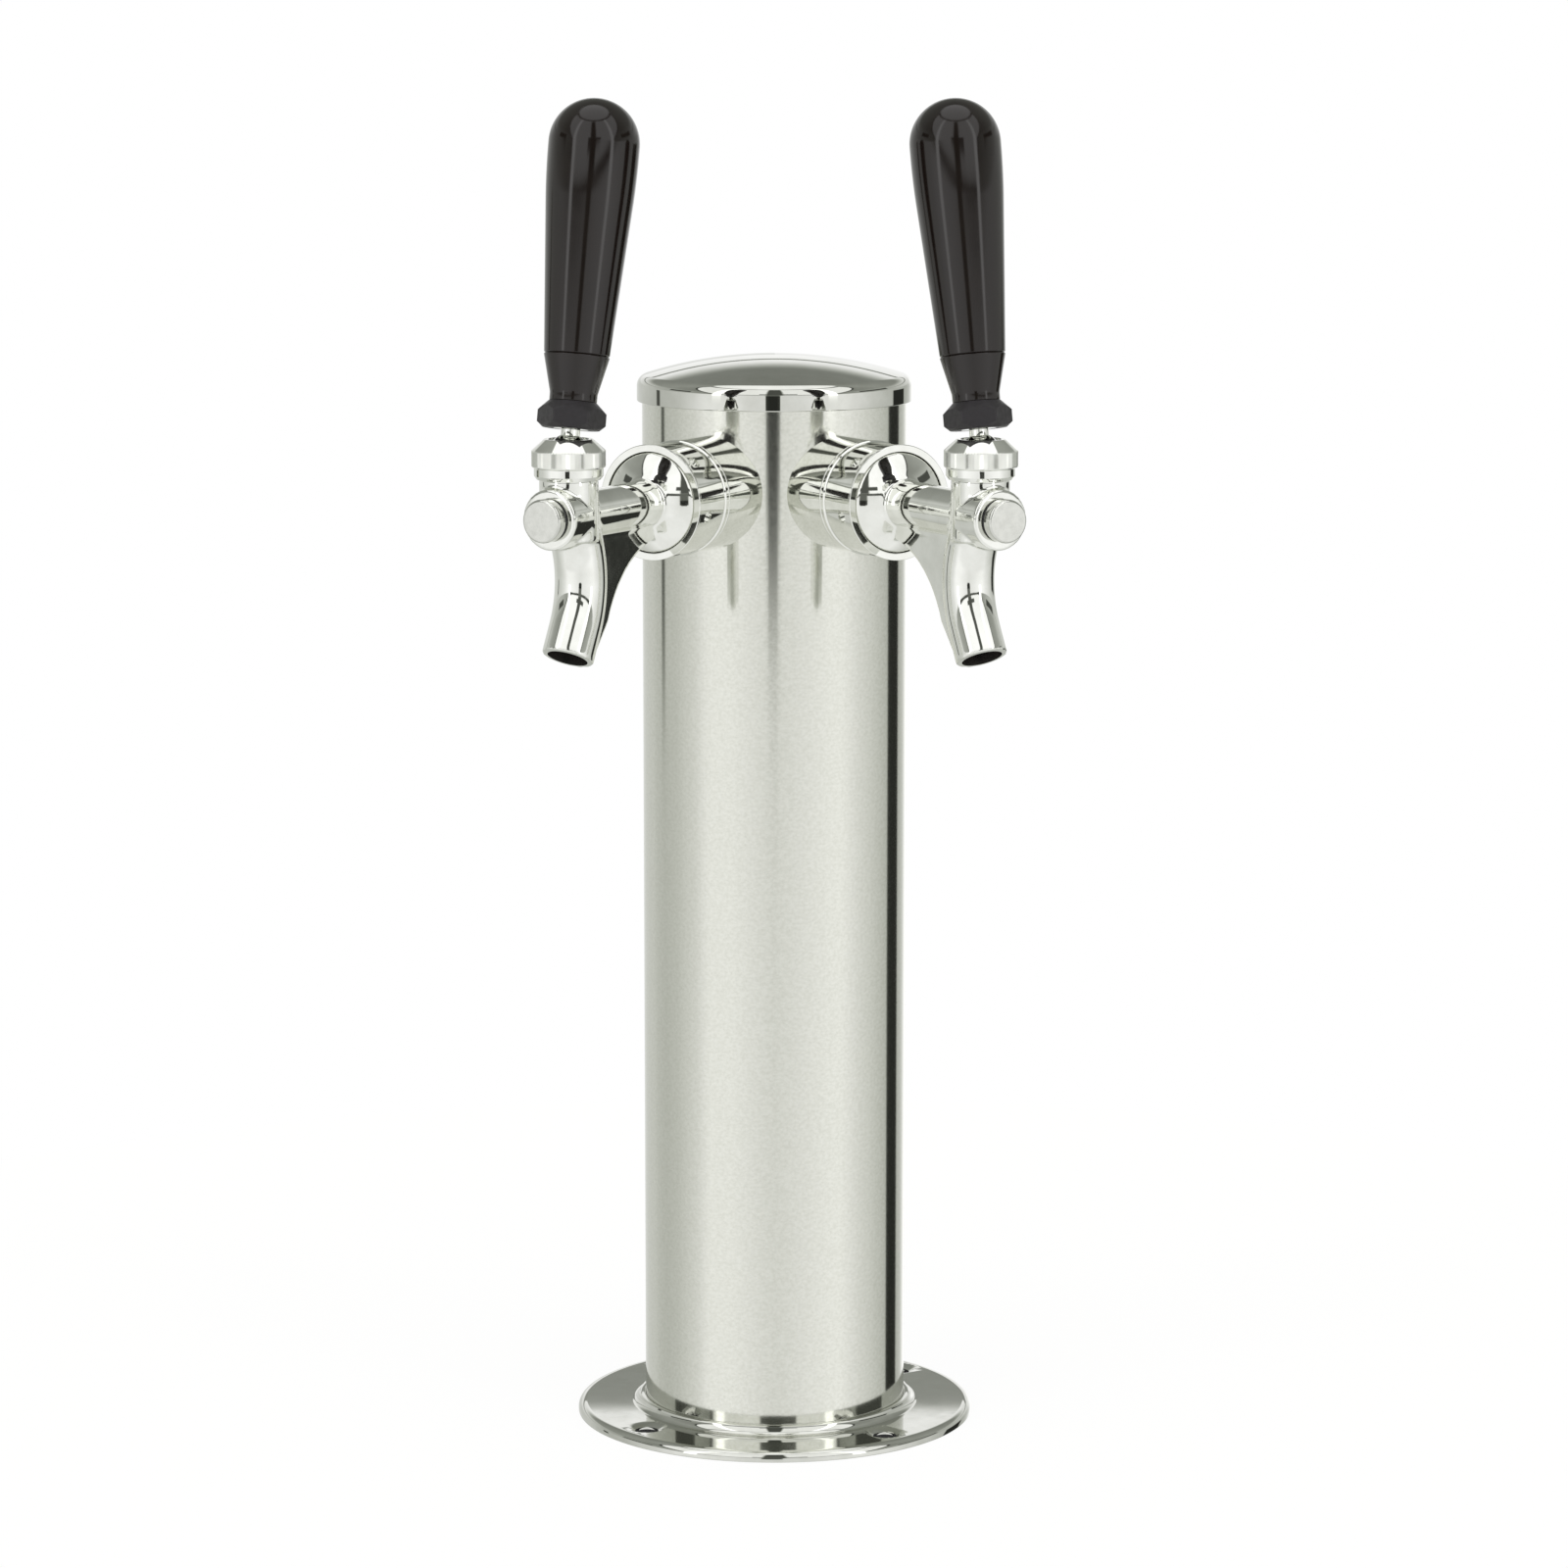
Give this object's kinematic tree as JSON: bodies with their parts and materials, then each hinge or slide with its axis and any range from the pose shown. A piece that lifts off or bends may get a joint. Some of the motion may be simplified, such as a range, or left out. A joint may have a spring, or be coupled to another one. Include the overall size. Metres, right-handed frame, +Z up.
{
  "type": "beer tower dispenser",
  "caption": "Countertop draft beer tower: an upright steel column on a round screw-down base, domed cap and a splayed pair of lever taps with black handles.",
  "frame": {"origin": "on the counter under the column's axis, at the centre of the base's bolt circle", "axes": "+Z up along the column, the two taps splay 30 degrees either side of -Y, +X to the right tap's side seen from the front"},
  "size_m": [0.1356, 0.169, 0.387],
  "materials": {
    "column_stainless": "satin",
    "polished_stainless": "polished",
    "chrome_plate": "polished",
    "shank_brass": "satin",
    "black_gloss": "gloss",
    "black_rubber": "matte",
    "washer_plastic": "matte",
    "sleeve_foam": "closed-cell foam"
  },
  "bodies": {
    "tower": {"column": "column_stainless", "base_flange": "polished_stainless", "base_gasket": "black_rubber", "insulation_sleeve": "sleeve_foam", "left_shank_collar": "chrome_plate", "left_shank": "shank_brass", "left_shank_washer": "shank_brass", "left_shank_locknut": "shank_brass", "left_tail_elbow": "polished_stainless", "left_coupling_nut": "chrome_plate", "left_coupling_washer": "black_rubber", "left_faucet_body": "chrome_plate", "left_plug_gasket": "black_rubber", "left_front_plug": "chrome_plate", "left_ball_washer": "washer_plastic", "left_friction_washer": "washer_plastic", "left_bonnet": "chrome_plate", "right_shank_collar": "chrome_plate", "right_shank": "shank_brass", "right_shank_washer": "shank_brass", "right_shank_locknut": "shank_brass", "right_tail_elbow": "polished_stainless", "right_coupling_nut": "chrome_plate", "right_coupling_washer": "black_rubber", "right_faucet_body": "chrome_plate", "right_plug_gasket": "black_rubber", "right_front_plug": "chrome_plate", "right_ball_washer": "washer_plastic", "right_friction_washer": "washer_plastic", "right_bonnet": "chrome_plate"},
    "cap": {"tower_cap": "polished_stainless"},
    "left_lever": {"left_lever": "chrome_plate", "left_handle_ferrule": "black_gloss", "left_handle": "black_gloss", "left_handle_insert": "shank_brass"},
    "left_valve": {"left_valve_shaft": "polished_stainless", "left_valve_washer": "black_rubber", "left_valve_nut": "polished_stainless"},
    "right_lever": {"right_lever": "chrome_plate", "right_handle_ferrule": "black_gloss", "right_handle": "black_gloss", "right_handle_insert": "shank_brass"},
    "right_valve": {"right_valve_shaft": "polished_stainless", "right_valve_washer": "black_rubber", "right_valve_nut": "polished_stainless"}
  },
  "joints": [
    {"name": "cap_lift", "type": "slide", "parent": "tower", "child": "cap", "axis": [0, 0, 1], "range_m": [0, 0.03]},
    {"name": "left_tap_lever", "type": "hinge", "parent": "tower", "child": "left_lever", "pos_m": [-0.0555, -0.09613, 0.2917], "axis": [0.866, -0.5, 0], "range_deg": [0, 34.5]},
    {"name": "left_valve_travel", "type": "slide", "parent": "tower", "child": "left_valve", "axis": [0.5, 0.866, 0], "range_m": [0, 0.009]},
    {"name": "right_tap_lever", "type": "hinge", "parent": "tower", "child": "right_lever", "pos_m": [0.0555, -0.09613, 0.2917], "axis": [0.866, 0.5, 0], "range_deg": [0, 34.5]},
    {"name": "right_valve_travel", "type": "slide", "parent": "tower", "child": "right_valve", "axis": [-0.5, 0.866, 0], "range_m": [0, 0.009]}
  ],
  "couplings": [
    {"joint": "left_valve_travel", "follows": "left_tap_lever", "m_per_rad": 0.014835},
    {"joint": "right_valve_travel", "follows": "right_tap_lever", "m_per_rad": 0.014835}
  ]
}
